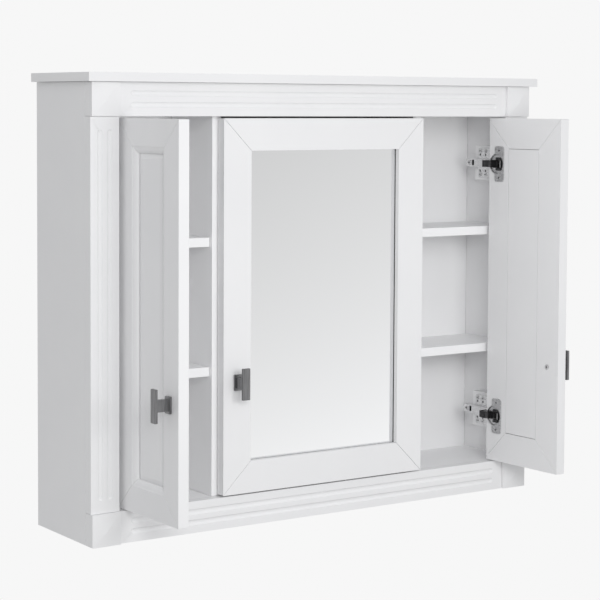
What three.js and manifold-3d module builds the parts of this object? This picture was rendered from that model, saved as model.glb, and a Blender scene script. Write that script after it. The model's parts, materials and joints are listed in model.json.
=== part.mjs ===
// Wall-hung bathroom medicine cabinet with three doors, the middle one a mirror.
// Millimetres, +Z up. The wall is the plane y = 0 and the doors face -Y.
// The origin is the centre of the upper hanging rail's wall face.
import * as THREE from 'three';
import { mergeVertices } from 'three/addons/utils/BufferGeometryUtils.js';
import Module from 'manifold-3d';

const wasm = await Module();
wasm.setup();

// ---- Driving dimensions: carcass ----
const CABINET_HEIGHT = 730;
const BODY_WIDTH = 870;
const FRAME_FRONT = 185; // wall to the front of the face frame
const FRAME_THICKNESS = 18;
const PILASTER_WIDTH = 49.5;
const PLINTH_HEIGHT = 51;
const FRIEZE_HEIGHT = 53;
const BLOCK_PROUD = 5; // a corner block stands this far in front of the face frame
const PYRAMID_HEIGHT = 4.5;
const PYRAMID_TIP = 0.4; // half width of the flat on a pyramid's tip
const CAP_THICKNESS = 14;
const CAP_SIDE_OVERHANG = 10;
const CAP_FRONT_OVERHANG = 15;
const SIDE_THICKNESS = 16;
const DIVIDER_THICKNESS = 16;
const DECK_THICKNESS = 16; // top and bottom panels
const SHELF_THICKNESS = 15;
const SHELF_SETBACK = 6; // shelf front to the back of the face frame
const BACK_THICKNESS = 6;
const WALL_RECESS = 32; // wall to the rear of the back panel, filled by the hanging rails
const RAIL_HEIGHT = 60;
const RAIL_END_DISTANCE = 90; // centre of a hanging rail to the top or bottom of the cabinet
const TIERS = 3; // storeys in each bay
const FIT = 0.3; // gap between pieces that touch

// ---- Driving dimensions: decoration ----
const FLUTE_WIDTH = 9;
const FLUTE_DEPTH = 2.6;
const FLUTE_END = 20; // board end to flute end
const FLUTES = 2;
const FLUTE_END_RINGS = 4;
const FLUTE_SEGMENTS = 20;

// ---- Driving dimensions: doors ----
const DOOR_THICKNESS = 18;
const DOOR_SEAT = 4; // back of the face frame to the rear face of a closed door
const DOOR_GAP = 3;
const SIDE_DOOR_WIDTH = 180;
const PANEL_MEMBER = 42; // flat width of a panel door's stiles and rails
const MIRROR_MEMBER = 52; // flat width of the mirror door's stiles and rails
const LEFT_OPEN = 89; // degrees that each side door stands open
const RIGHT_OPEN = 93;
const DIVIDER_CLEARANCE = 2.5; // divider's front edge to the doors
const EDGE_RELIEF = 4; // chamfer on the rear arris of a hinge stile
const MITRE_GAP = 0.3; // cut back from each member's end, along the member

// ---- Driving dimensions: door panels and mirror ----
const MOULDING_WIDTH = 10.5;
const MOULDING_DEPTH = 7;
const MOULDING_QUIRK = 0.9;
const MOULDING_STEPS = 4;
const PANEL_LIP = 1; // moulding's thickness at its inner edge, in front of the groove
const PANEL_TONGUE = 7; // panel edge held in the members' groove
const GROOVE_WIDTH = 5.5;
const PANEL_GAP = 0.8; // open joint round the panel on the door's rear face
const FIELD_BEVEL = 8;
const FIELD_RISE = 4;
const MIRROR_DEPTH = 9; // front of the door to the glass
const MIRROR_THICKNESS = 4;
const MIRROR_REBATE = 8; // width of glass behind the frame

// ---- Driving dimensions: hinges ----
const HINGE_FROM_END = 80; // cup centre to the end of the door
const AXIS_FROM_EDGE = 12.5; // hinge axis to the door's hinge edge
const AXIS_FROM_BACK = 10; // hinge axis to the door's rear face
const CUP_FROM_EDGE = 23; // cup centre to the door's hinge edge
const CUP_RADIUS = 17.5;
const CUP_WALL = 1.2;
const CUP_DEPTH = 13.4;
const CUP_FLOOR = 1;
const CUP_SEGMENTS = 24;
const FLANGE_HEIGHT = 62;
const FLANGE_INNER = 4; // flange edge to the cup centre, towards the hinge edge
const FLANGE_OUTER = 19; // flange edge to the cup centre, towards the free edge
const FLANGE_THICKNESS = 1.5;
const PIN_RADIUS = 0.9;
const PIN_CLEARANCE = 0.35;
const PIN_SEGMENTS = 12;
const BARREL_RADIUS = 2.1;
const LINK_THICKNESS = 2.4;
const LINK_HEIGHT = 12;
const LINK_REACH = 18; // hinge axis to the upright run of the link
const ARM_FRONT = 19; // hinge axis to the front end of the arm
const ARM_LENGTH = 72;
const ARM_DEPTH = 10;
const ARM_HEIGHT = 14;
const PLATE_SETBACK = 35; // hinge axis to the front of the mounting plate
const PLATE_LENGTH = 32;
const PLATE_HEIGHT = 53;
const PLATE_THICKNESS = 2.4;
const BLOCK_LENGTH = 64; // hinge spacer blocks
const BLOCK_HEIGHT = 62;

// ---- Driving dimensions: handles ----
const HANDLE_FROM_EDGE = 26; // middle of the handle to the door's free edge
const HANDLE_HEIGHT = 182; // bottom of the door to the middle of the handle
const HANDLE_BAR = { width: 14, height: 51, thickness: 4.3 };
const HANDLE_NECK = { width: 9, height: 18, length: 20 };
const HANDLE_BASE = { width: 14, height: 26, thickness: 3.7 };

// ---- Derived places ----
const HALF_BODY = BODY_WIDTH / 2;
const CAP_BOTTOM = CABINET_HEIGHT - CAP_THICKNESS;
const FRIEZE_BOTTOM = CAP_BOTTOM - FRIEZE_HEIGHT;
const FRAME_BACK = FRAME_FRONT - FRAME_THICKNESS;
const DOOR_BACK = FRAME_BACK + DOOR_SEAT; // wall to the rear face of a closed door
const HALF_OPENING = HALF_BODY - PILASTER_WIDTH;
const SIDE_INNER = HALF_BODY - SIDE_THICKNESS;
const BACK_FACE = WALL_RECESS + BACK_THICKNESS;
const CEILING = CAP_BOTTOM - DECK_THICKNESS;
const HANG_HEIGHT = CABINET_HEIGHT - RAIL_END_DISTANCE;
const DOOR_BOTTOM = PLINTH_HEIGHT + DOOR_GAP;
const DOOR_TOP = FRIEZE_BOTTOM - DOOR_GAP;
const DOOR_HEIGHT = DOOR_TOP - DOOR_BOTTOM;
const DOOR_MIDDLE = (DOOR_TOP + DOOR_BOTTOM) / 2;
const SIDE_DOOR_EDGE = HALF_OPENING - DOOR_GAP; // hinge edge of a side door
const MIRROR_DOOR_WIDTH = 2 * (SIDE_DOOR_EDGE - SIDE_DOOR_WIDTH - DOOR_GAP);
const DIVIDER_CENTRE = (MIRROR_DOOR_WIDTH + DOOR_GAP) / 2;
const DIVIDER_FRONT = DOOR_BACK - DIVIDER_CLEARANCE;
const AXIS_Y = -(DOOR_BACK + AXIS_FROM_BACK);
const DOOR_FRONT_LOCAL = AXIS_FROM_BACK - DOOR_THICKNESS; // door front measured from the hinge axis
const RAISED_PANEL_SEAT = MOULDING_DEPTH + PANEL_LIP; // front of the door to the groove
const PANEL_OPENING_EDGE = PANEL_MEMBER + MOULDING_WIDTH; // door's edge to the opening that its panel fills
const DEGREE = Math.PI / 180;
const QUARTER_TURN = Math.PI / 2;
const CUT_OVERRUN = 5; // how far a cutting tool runs past the face it cuts

// ---- Materials ----
function finish(color, roughness, metalness) {
  return new THREE.MeshStandardMaterial({ color, roughness, metalness });
}
const LACQUER = finish(0xf1f1f2, 0.45, 0);
const RAW_BOARD = finish(0xd9d6d0, 0.7, 0);
const SILVERED_GLASS = finish(0xdfe3e6, 0.03, 1);
const HINGE_STEEL = finish(0xb9bbbd, 0.3, 1);
const HANDLE_METAL = finish(0x6f7072, 0.35, 1);

// ---- Joining and cutting closed shapes ----
function toSolid(geometry) {
  const bare = geometry.clone();
  bare.deleteAttribute('normal');
  bare.deleteAttribute('uv');
  const merged = mergeVertices(bare);
  const corners = merged.index.array;
  const triangles = [];
  for (let i = 0; i < corners.length; i += 3) {
    const [a, b, c] = corners.slice(i, i + 3);
    if (a !== b && b !== c && c !== a) triangles.push(a, b, c);
  }
  const mesh = new wasm.Mesh({
    numProp: 3,
    vertProperties: Float32Array.from(merged.attributes.position.array),
    triVerts: Uint32Array.from(triangles),
  });
  return new wasm.Manifold(mesh);
}

function toGeometry(solid) {
  const mesh = solid.getMesh();
  const geometry = new THREE.BufferGeometry();
  geometry.setAttribute('position', new THREE.BufferAttribute(mesh.vertProperties, 3));
  geometry.setIndex(new THREE.BufferAttribute(mesh.triVerts, 1));
  return geometry;
}

function cut(geometry, tools) {
  return toGeometry(tools.reduce((solid, tool) => solid.subtract(toSolid(tool)), toSolid(geometry)));
}

function join(geometries) {
  return toGeometry(geometries.map(toSolid).reduce((whole, piece) => whole.add(piece)));
}

// ---- Basic shapes ----
// A box between two limits on each axis, as a geometry.
function block(x, y, z) {
  const geometry = new THREE.BoxGeometry(x[1] - x[0], y[1] - y[0], z[1] - z[0]);
  return geometry.translate((x[0] + x[1]) / 2, (y[0] + y[1]) / 2, (z[0] + z[1]) / 2);
}

function piece(name, geometry, material, x = 0, y = 0, z = 0) {
  const mesh = new THREE.Mesh(geometry, material);
  mesh.name = name;
  mesh.position.set(x, y, z);
  return mesh;
}

// A board between two limits on each axis, centred on its own position.
function board(name, material, x, y, z) {
  const geometry = new THREE.BoxGeometry(x[1] - x[0], y[1] - y[0], z[1] - z[0]);
  return piece(name, geometry, material, (x[0] + x[1]) / 2, (y[0] + y[1]) / 2, (z[0] + z[1]) / 2);
}

// A rectangular block whose outline steps in as it comes forward. Levels run from rear to front.
function steppedBlock(width, height, levels) {
  const steps = levels.length - 1;
  const geometry = new THREE.BoxGeometry(1, 1, steps, 1, 1, steps);
  const position = geometry.attributes.position;
  for (let i = 0; i < position.count; i += 1) {
    const level = levels[Math.round(position.getZ(i) + steps / 2)];
    const x = Math.sign(position.getX(i)) * (width / 2 - level.inset);
    const z = Math.sign(position.getY(i)) * (height / 2 - level.inset);
    position.setXYZ(i, x, level.y, z);
  }
  return geometry;
}

// A board along X with round-ended flutes in its front face, which is y = 0.
function flutedBoard(length, width, thickness) {
  const radius = ((FLUTE_WIDTH / 2) ** 2 + FLUTE_DEPTH ** 2) / (2 * FLUTE_DEPTH);
  const stretch = length - 2 * FLUTE_END - FLUTE_WIDTH;
  const tools = [];
  for (let i = 1; i <= FLUTES; i += 1) {
    const tool = new THREE.CapsuleGeometry(radius, stretch, FLUTE_END_RINGS, FLUTE_SEGMENTS);
    const offset = (i / (FLUTES + 1) - 0.5) * width;
    tools.push(tool.rotateZ(QUARTER_TURN).translate(0, FLUTE_DEPTH - radius, offset));
  }
  const blank = block([-length / 2, length / 2], [0, thickness], [-width / 2, width / 2]);
  return cut(blank, tools);
}

// ---- Carcass ----
function addCap(group) {
  const x = HALF_BODY + CAP_SIDE_OVERHANG;
  const front = -(FRAME_FRONT + CAP_FRONT_OVERHANG);
  group.add(board('cap_board', LACQUER, [-x, x], [front, 0], [CAP_BOTTOM, CABINET_HEIGHT]));
}

function addSidePanel(group, side, label) {
  const x = [side * SIDE_INNER, side * HALF_BODY].sort((a, b) => a - b);
  const y = [-(FRAME_BACK - FIT), 0];
  group.add(board(`side_panel_${label}`, LACQUER, x, y, [0, CAP_BOTTOM - FIT]));
}

function addDecks(group) {
  const x = [-(SIDE_INNER - FIT), SIDE_INNER - FIT];
  const y = [-(FRAME_BACK - FIT), -(BACK_FACE + FIT)];
  group.add(board('bottom_panel', LACQUER, x, y, [PLINTH_HEIGHT - DECK_THICKNESS, PLINTH_HEIGHT]));
  group.add(board('top_panel', LACQUER, x, y, [CEILING, CAP_BOTTOM - FIT]));
}

// A divider stands between the decks and is notched to pass behind the frieze rail.
function addDivider(group, side, label) {
  const outline = new THREE.Shape();
  outline.moveTo(BACK_FACE + FIT, PLINTH_HEIGHT + FIT);
  outline.lineTo(DIVIDER_FRONT, PLINTH_HEIGHT + FIT);
  outline.lineTo(DIVIDER_FRONT, FRIEZE_BOTTOM - FIT);
  outline.lineTo(FRAME_BACK - FIT, FRIEZE_BOTTOM - FIT);
  outline.lineTo(FRAME_BACK - FIT, CEILING - FIT);
  outline.lineTo(BACK_FACE + FIT, CEILING - FIT);
  const geometry = new THREE.ExtrudeGeometry(outline, { depth: DIVIDER_THICKNESS, bevelEnabled: false });
  geometry.translate(0, 0, -DIVIDER_THICKNESS / 2).rotateX(QUARTER_TURN).rotateZ(-QUARTER_TURN);
  group.add(piece(`divider_${label}`, geometry, LACQUER, side * DIVIDER_CENTRE));
}

function addBack(group) {
  const x = [-(SIDE_INNER - FIT), SIDE_INNER - FIT];
  const z = [PLINTH_HEIGHT - DECK_THICKNESS, CAP_BOTTOM - FIT];
  group.add(board('back_panel', LACQUER, x, [-BACK_FACE, -WALL_RECESS], z));
}

function addHangingRail(group, label, centre) {
  const x = [-(SIDE_INNER - FIT), SIDE_INNER - FIT];
  const y = [-(WALL_RECESS - FIT), 0];
  const z = [centre - RAIL_HEIGHT / 2, centre + RAIL_HEIGHT / 2];
  group.add(board(`hanging_rail_${label}`, RAW_BOARD, x, y, z));
}

// Shelves split the height between the bottom panel and the frieze into equal storeys.
function addShelves(group, label, x) {
  const pitch = (FRIEZE_BOTTOM - PLINTH_HEIGHT + SHELF_THICKNESS) / TIERS;
  const y = [-(FRAME_BACK - SHELF_SETBACK), -(BACK_FACE + FIT)];
  for (let i = 1; i < TIERS; i += 1) {
    const top = PLINTH_HEIGHT + i * pitch;
    group.add(board(`shelf_${label}_${i}`, LACQUER, x, y, [top - SHELF_THICKNESS, top]));
  }
}

// ---- Face frame ----
function addFluted(group, name, length, width, x, z, upright) {
  const geometry = flutedBoard(length, width, FRAME_THICKNESS);
  if (upright) geometry.rotateY(QUARTER_TURN);
  group.add(piece(name, geometry, LACQUER, x, -FRAME_FRONT, z));
}

function addPilaster(group, side, label) {
  const length = FRIEZE_BOTTOM - PLINTH_HEIGHT - 2 * FIT;
  const x = side * (HALF_OPENING + PILASTER_WIDTH / 2);
  addFluted(group, `pilaster_${label}`, length, PILASTER_WIDTH, x, DOOR_MIDDLE, true);
}

function addCrossRails(group) {
  const length = 2 * (HALF_OPENING - FIT);
  const frieze = FRIEZE_HEIGHT - FIT;
  addFluted(group, 'frieze_rail', length, frieze, 0, FRIEZE_BOTTOM + frieze / 2, false);
  addFluted(group, 'plinth_rail', length, PLINTH_HEIGHT, 0, PLINTH_HEIGHT / 2, false);
}

// A corner block carries a low four-sided pyramid.
function addCornerBlock(group, name, side, z) {
  const height = z[1] - z[0];
  const tip = Math.min(PILASTER_WIDTH, height) / 2 - PYRAMID_TIP;
  const front = -(FRAME_FRONT + BLOCK_PROUD);
  const levels = [
    { inset: 0, y: -FRAME_BACK },
    { inset: 0, y: front },
    { inset: tip, y: front - PYRAMID_HEIGHT },
  ];
  const geometry = steppedBlock(PILASTER_WIDTH, height, levels);
  const x = side * (HALF_OPENING + PILASTER_WIDTH / 2);
  group.add(piece(name, geometry, LACQUER, x, 0, (z[0] + z[1]) / 2));
}

// ---- Door frames ----
// One mitred stile or rail. The outline is drawn as (distance in from the door's edge, depth from its
// front), and the piece runs along X with its outer edge at z = 0.
function mitredMember(length, outline) {
  const geometry = new THREE.ExtrudeGeometry(outline, { depth: 1, bevelEnabled: false });
  const position = geometry.attributes.position;
  for (let i = 0; i < position.count; i += 1) {
    const inward = position.getX(i);
    const half = length / 2 - inward - MITRE_GAP;
    position.setXYZ(i, (1 - 2 * position.getZ(i)) * half, position.getY(i), inward);
  }
  return geometry;
}

function outlineFrom(points) {
  return new THREE.Shape(points.map(([inward, depth]) => new THREE.Vector2(inward, depth)));
}

// The rear edge that a member's outline ends with, with or without the hinge edge's chamfer.
function rearEdge(relieved) {
  if (!relieved) return [[0, DOOR_THICKNESS]];
  return [[EDGE_RELIEF, DOOR_THICKNESS], [0, DOOR_THICKNESS - EDGE_RELIEF]];
}

// A panel door's member: a flat, a quirk, an ovolo moulding and a groove that holds the panel's tongue.
function panelMember(relieved) {
  const points = [[0, 0], [PANEL_MEMBER, 0]];
  for (let i = 0; i <= MOULDING_STEPS; i += 1) {
    const turn = (i / MOULDING_STEPS) * QUARTER_TURN;
    const inward = PANEL_MEMBER + MOULDING_WIDTH * Math.sin(turn);
    points.push([inward, MOULDING_QUIRK + (MOULDING_DEPTH - MOULDING_QUIRK) * (1 - Math.cos(turn))]);
  }
  const grooveBottom = PANEL_OPENING_EDGE - PANEL_TONGUE;
  const grooveRear = RAISED_PANEL_SEAT + GROOVE_WIDTH;
  points.push([PANEL_OPENING_EDGE, RAISED_PANEL_SEAT], [grooveBottom, RAISED_PANEL_SEAT]);
  points.push([grooveBottom, grooveRear], [PANEL_OPENING_EDGE, grooveRear]);
  points.push([PANEL_OPENING_EDGE, DOOR_THICKNESS]);
  return outlineFrom(points.concat(rearEdge(relieved)));
}

// The mirror door's member: a plain flat with a rebate for the glass.
function mirrorMember(relieved) {
  const rebate = MIRROR_MEMBER - MIRROR_REBATE;
  const points = [[0, 0], [MIRROR_MEMBER, 0], [MIRROR_MEMBER, MIRROR_DEPTH]];
  points.push([rebate, MIRROR_DEPTH], [rebate, DOOR_THICKNESS]);
  return outlineFrom(points.concat(rearEdge(relieved)));
}

function hingeHeights() {
  const reach = DOOR_HEIGHT / 2 - HINGE_FROM_END;
  return { lower: -reach, upper: reach };
}

// Holes for the hinge cups, in a stile that lies along X with its hinge edge at z = 0.
function cupHoles() {
  return Object.values(hingeHeights()).map((height) => {
    const depth = CUP_DEPTH + FIT;
    const tool = new THREE.CylinderGeometry(
      CUP_RADIUS + FIT, CUP_RADIUS + FIT, depth + CUT_OVERRUN, CUP_SEGMENTS,
    );
    const y = DOOR_THICKNESS - depth + (depth + CUT_OVERRUN) / 2;
    return tool.translate(height, y, CUP_FROM_EDGE);
  });
}

// Cuts the hinge edge's chamfer on into a rail that lies along X, at its end on that side.
function edgeRelief(end, width) {
  const outer = width / 2 + CUT_OVERRUN;
  const inner = width / 2 - EDGE_RELIEF - CUT_OVERRUN;
  const rear = DOOR_THICKNESS + CUT_OVERRUN;
  const outline = new THREE.Shape();
  outline.moveTo(end * outer, rear - (outer - inner));
  outline.lineTo(end * outer, rear);
  outline.lineTo(end * inner, rear);
  const depth = EDGE_RELIEF + 2 * CUT_OVERRUN;
  return new THREE.ExtrudeGeometry(outline, { depth, bevelEnabled: false }).translate(0, 0, -CUT_OVERRUN);
}

// A door's group turns about its hinge axis. Side is +1 with the hinges on the right, -1 on the left.
function doorGroup(side, hingeEdge, open) {
  const group = new THREE.Group();
  group.position.set(hingeEdge - side * AXIS_FROM_EDGE, AXIS_Y, DOOR_MIDDLE);
  group.rotation.z = side * open * DEGREE;
  return group;
}

function addDoorFrame(group, label, side, width, member) {
  const centre = side * (AXIS_FROM_EDGE - width / 2);
  const place = (name, geometry, turn, x, z) => {
    group.add(piece(`${label}_${name}`, geometry.rotateY(turn), LACQUER, x, DOOR_FRONT_LOCAL, z));
  };
  const hingeStile = cut(mitredMember(DOOR_HEIGHT, member(true)), cupHoles());
  const rail = (hingeEnd) => cut(mitredMember(width, member(false)), [edgeRelief(hingeEnd, width)]);
  const half = width / 2;
  place('hinge_stile', hingeStile, -side * QUARTER_TURN, centre + side * half, 0);
  place('handle_stile', mitredMember(DOOR_HEIGHT, member(false)), side * QUARTER_TURN, centre - side * half, 0);
  place('bottom_rail', rail(side), 0, centre, -DOOR_HEIGHT / 2);
  place('top_rail', rail(-side), Math.PI, centre, DOOR_HEIGHT / 2);
  return centre;
}

function addRaisedPanel(group, label, width, centre) {
  const border = PANEL_OPENING_EDGE - PANEL_TONGUE + FIT;
  const shoulder = PANEL_TONGUE - FIT + PANEL_GAP;
  const seat = DOOR_FRONT_LOCAL + RAISED_PANEL_SEAT + FIT;
  const tongueRear = seat + GROOVE_WIDTH - 2 * FIT;
  const levels = [
    { inset: shoulder, y: AXIS_FROM_BACK },
    { inset: shoulder, y: tongueRear },
    { inset: 0, y: tongueRear },
    { inset: 0, y: seat },
    { inset: PANEL_TONGUE, y: seat },
    { inset: PANEL_TONGUE + FIELD_BEVEL, y: seat - FIELD_RISE },
  ];
  const geometry = steppedBlock(width - 2 * border, DOOR_HEIGHT - 2 * border, levels);
  group.add(piece(`${label}_raised_panel`, geometry, LACQUER, centre));
}

function addMirror(group, width, centre) {
  const border = MIRROR_MEMBER - MIRROR_REBATE + FIT;
  const x = [centre - width / 2 + border, centre + width / 2 - border];
  const z = [border - DOOR_HEIGHT / 2, DOOR_HEIGHT / 2 - border];
  const glassFront = DOOR_FRONT_LOCAL + MIRROR_DEPTH + FIT;
  const glassBack = glassFront + MIRROR_THICKNESS;
  group.add(board('mirror_glass', SILVERED_GLASS, x, [glassFront, glassBack], z));
  group.add(board('mirror_backing', RAW_BOARD, x, [glassBack + FIT, AXIS_FROM_BACK], z));
}

// A T-shaped pull: base plate on the stile, flat neck and upright bar.
function addHandle(group, label, side, width) {
  const x = side * (AXIS_FROM_EDGE - width + HANDLE_FROM_EDGE);
  const z = HANDLE_HEIGHT - DOOR_HEIGHT / 2;
  const solid = (part, y) => block(
    [-part.width / 2, part.width / 2], y, [-part.height / 2, part.height / 2],
  );
  const rear = -FIT;
  const baseFront = rear - HANDLE_BASE.thickness;
  const barRear = baseFront - HANDLE_NECK.length;
  const geometry = join([
    solid(HANDLE_BASE, [baseFront, rear]),
    solid(HANDLE_NECK, [barRear, baseFront]),
    solid(HANDLE_BAR, [barRear - HANDLE_BAR.thickness, barRear]),
  ]);
  group.add(piece(`${label}_handle`, geometry, HANDLE_METAL, x, DOOR_FRONT_LOCAL, z));
}

// ---- Hinges, drawn about the hinge axis with the door closed ----
function cylinder(radius, length, segments) {
  return new THREE.CylinderGeometry(radius, radius, length, segments);
}

// The cup with its flange and its pivot pin.
function hingeCup(side) {
  const centre = side * (AXIS_FROM_EDGE - CUP_FROM_EDGE);
  const rim = AXIS_FROM_BACK + FIT + FLANGE_THICKNESS;
  const bottom = AXIS_FROM_BACK - CUP_DEPTH;
  const wall = cylinder(CUP_RADIUS, rim - bottom, CUP_SEGMENTS).translate(centre, (rim + bottom) / 2, 0);
  const floor = bottom + CUP_FLOOR;
  const hollow = cylinder(CUP_RADIUS - CUP_WALL, rim + CUT_OVERRUN - floor, CUP_SEGMENTS);
  hollow.translate(centre, (rim + CUT_OVERRUN + floor) / 2, 0);
  const flangeX = [centre + side * FLANGE_INNER, centre - side * FLANGE_OUTER].sort((a, b) => a - b);
  const flange = block(flangeX, [rim - FLANGE_THICKNESS, rim], [-FLANGE_HEIGHT / 2, FLANGE_HEIGHT / 2]);
  const chord = Math.sqrt((CUP_RADIUS - CUP_WALL / 2) ** 2 - centre ** 2);
  const pin = cylinder(PIN_RADIUS, 2 * chord, PIN_SEGMENTS).rotateX(QUARTER_TURN);
  return join([cut(join([wall, flange]), [hollow]), pin]);
}

// The arm on its mounting plate, with the cranked link that reaches into the cup and turns on its pin.
function hingeArm(side, seat) {
  const span = (from, to) => [side * from, side * to].sort((a, b) => a - b);
  const half = LINK_THICKNESS / 2;
  const z = [-LINK_HEIGHT / 2, LINK_HEIGHT / 2];
  const armTop = seat - FIT - PLATE_THICKNESS / 2;
  const armFoot = armTop - ARM_DEPTH;
  const reach = -LINK_REACH;
  const bore = cylinder(PIN_RADIUS + PIN_CLEARANCE, LINK_HEIGHT + CUT_OVERRUN, PIN_SEGMENTS);
  const barrel = cylinder(BARREL_RADIUS, LINK_HEIGHT, PIN_SEGMENTS);
  const arm = join([
    barrel.rotateX(QUARTER_TURN),
    block(span(reach - half, 0), [-half, half], z),
    block(span(reach - half, reach + half), [-half, ARM_FRONT + LINK_THICKNESS], z),
    block(span(reach - half, armFoot + half), [ARM_FRONT, ARM_FRONT + LINK_THICKNESS], z),
    block(span(armFoot, armTop), [ARM_FRONT, ARM_FRONT + ARM_LENGTH], [-ARM_HEIGHT / 2, ARM_HEIGHT / 2]),
    block(
      span(seat - FIT - PLATE_THICKNESS, seat - FIT),
      [PLATE_SETBACK, PLATE_SETBACK + PLATE_LENGTH],
      [-PLATE_HEIGHT / 2, PLATE_HEIGHT / 2],
    ),
  ]);
  return cut(arm, [bore.rotateX(QUARTER_TURN)]);
}

// Cups turn with the door; arms stay on the carcass, on the face at x = mountingFace.
function addHinges(carcass, door, label, side, mountingFace) {
  const axisX = door.position.x;
  const seat = Math.abs(mountingFace - axisX);
  for (const [level, height] of Object.entries(hingeHeights())) {
    door.add(piece(`${label}_hinge_cup_${level}`, hingeCup(side), HINGE_STEEL, 0, 0, height));
    const arm = hingeArm(side, seat);
    carcass.add(piece(`${label}_hinge_arm_${level}`, arm, HINGE_STEEL, axisX, AXIS_Y, DOOR_MIDDLE + height));
  }
}

// Spacer blocks bring the side doors' hinges level with the pilaster's inner edge.
function addSpacerBlocks(group, side, label) {
  const x = [side * HALF_OPENING, side * (SIDE_INNER - FIT)].sort((a, b) => a - b);
  const y = [-(FRAME_BACK - FIT), -(FRAME_BACK - FIT - BLOCK_LENGTH)];
  for (const [level, height] of Object.entries(hingeHeights())) {
    const z = [DOOR_MIDDLE + height - BLOCK_HEIGHT / 2, DOOR_MIDDLE + height + BLOCK_HEIGHT / 2];
    group.add(board(`hinge_block_${label}_${level}`, LACQUER, x, y, z));
  }
}

// ---- Whole doors ----
function addSideDoor(cabinet, side, label, open) {
  const door = doorGroup(side, side * SIDE_DOOR_EDGE, open);
  const name = `${label}_door`;
  const centre = addDoorFrame(door, name, side, SIDE_DOOR_WIDTH, panelMember);
  addRaisedPanel(door, name, SIDE_DOOR_WIDTH, centre);
  addHandle(door, name, side, SIDE_DOOR_WIDTH);
  addHinges(cabinet, door, name, side, side * HALF_OPENING);
  cabinet.add(door);
}

function addMirrorDoor(cabinet) {
  const door = doorGroup(1, MIRROR_DOOR_WIDTH / 2, 0);
  const name = 'mirror_door';
  const centre = addDoorFrame(door, name, 1, MIRROR_DOOR_WIDTH, mirrorMember);
  addMirror(door, MIRROR_DOOR_WIDTH, centre);
  addHandle(door, name, 1, MIRROR_DOOR_WIDTH);
  addHinges(cabinet, door, name, 1, DIVIDER_CENTRE - DIVIDER_THICKNESS / 2);
  cabinet.add(door);
}

function buildCabinet() {
  const cabinet = new THREE.Group();
  const bayInner = DIVIDER_CENTRE + DIVIDER_THICKNESS / 2 + FIT;
  const bayOuter = SIDE_INNER - FIT;
  const middleBay = DIVIDER_CENTRE - DIVIDER_THICKNESS / 2 - FIT;
  addCap(cabinet);
  addDecks(cabinet);
  addBack(cabinet);
  addCrossRails(cabinet);
  addHangingRail(cabinet, 'upper', HANG_HEIGHT);
  addHangingRail(cabinet, 'lower', RAIL_END_DISTANCE);
  for (const [side, label] of [[-1, 'left'], [1, 'right']]) {
    addSidePanel(cabinet, side, label);
    addDivider(cabinet, side, label);
    addPilaster(cabinet, side, label);
    addCornerBlock(cabinet, `corner_block_${label}_top`, side, [FRIEZE_BOTTOM, CAP_BOTTOM - FIT]);
    addCornerBlock(cabinet, `corner_block_${label}_bottom`, side, [0, PLINTH_HEIGHT]);
    addSpacerBlocks(cabinet, side, label);
    addShelves(cabinet, label, [side * bayInner, side * bayOuter].sort((a, b) => a - b));
  }
  addShelves(cabinet, 'middle', [-middleBay, middleBay]);
  addSideDoor(cabinet, -1, 'left', LEFT_OPEN);
  addSideDoor(cabinet, 1, 'right', RIGHT_OPEN);
  addMirrorDoor(cabinet);
  cabinet.position.z = -HANG_HEIGHT;
  return cabinet;
}

const model = new THREE.Group();
model.add(buildCabinet());

export default model;
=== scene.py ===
import json
import math

import bmesh
import bpy
from mathutils import Matrix, Vector


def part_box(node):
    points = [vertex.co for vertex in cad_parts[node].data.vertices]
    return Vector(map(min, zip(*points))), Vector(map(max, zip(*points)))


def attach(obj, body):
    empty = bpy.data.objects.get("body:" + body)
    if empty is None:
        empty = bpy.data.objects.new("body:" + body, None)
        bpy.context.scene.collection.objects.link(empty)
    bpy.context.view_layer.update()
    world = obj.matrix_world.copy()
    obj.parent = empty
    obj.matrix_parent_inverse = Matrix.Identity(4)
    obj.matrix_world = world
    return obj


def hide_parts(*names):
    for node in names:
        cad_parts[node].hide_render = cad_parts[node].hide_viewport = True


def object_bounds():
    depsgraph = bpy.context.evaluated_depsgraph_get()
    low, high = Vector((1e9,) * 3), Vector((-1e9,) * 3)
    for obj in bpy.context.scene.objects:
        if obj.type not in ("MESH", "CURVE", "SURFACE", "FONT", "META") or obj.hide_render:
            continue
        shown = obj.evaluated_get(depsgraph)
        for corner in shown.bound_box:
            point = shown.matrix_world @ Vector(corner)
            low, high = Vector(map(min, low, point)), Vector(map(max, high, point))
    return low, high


# A wall-hung bathroom medicine cabinet in white lacquer: three doors, the middle one a mirror.
# Metres, +Z up. The wall is the plane y = 0 and the doors face -Y.
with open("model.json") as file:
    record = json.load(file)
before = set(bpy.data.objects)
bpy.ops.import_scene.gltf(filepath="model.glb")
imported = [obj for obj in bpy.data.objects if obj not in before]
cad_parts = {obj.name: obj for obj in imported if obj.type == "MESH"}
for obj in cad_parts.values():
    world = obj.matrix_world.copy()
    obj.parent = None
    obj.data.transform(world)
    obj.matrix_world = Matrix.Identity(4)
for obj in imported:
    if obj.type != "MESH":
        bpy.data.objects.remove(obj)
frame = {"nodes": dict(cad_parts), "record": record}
CAD_LOW, CAD_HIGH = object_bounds()
NODES = frame["nodes"]
MM = 0.001

# ---- Camera ----
CAMERA_PLACE = Vector((-1.7186, -2.6656, 0.042))
CAMERA_HEADING = math.radians(33.91)  # to the right of straight at the wall
CAMERA_DIP = math.radians(3.4)
CAMERA_ROLL = math.radians(0.30)
CAMERA_LENS = 109.7
CAMERA_SHIFT = -0.1444
CAMERA_REACH = 200

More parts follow.
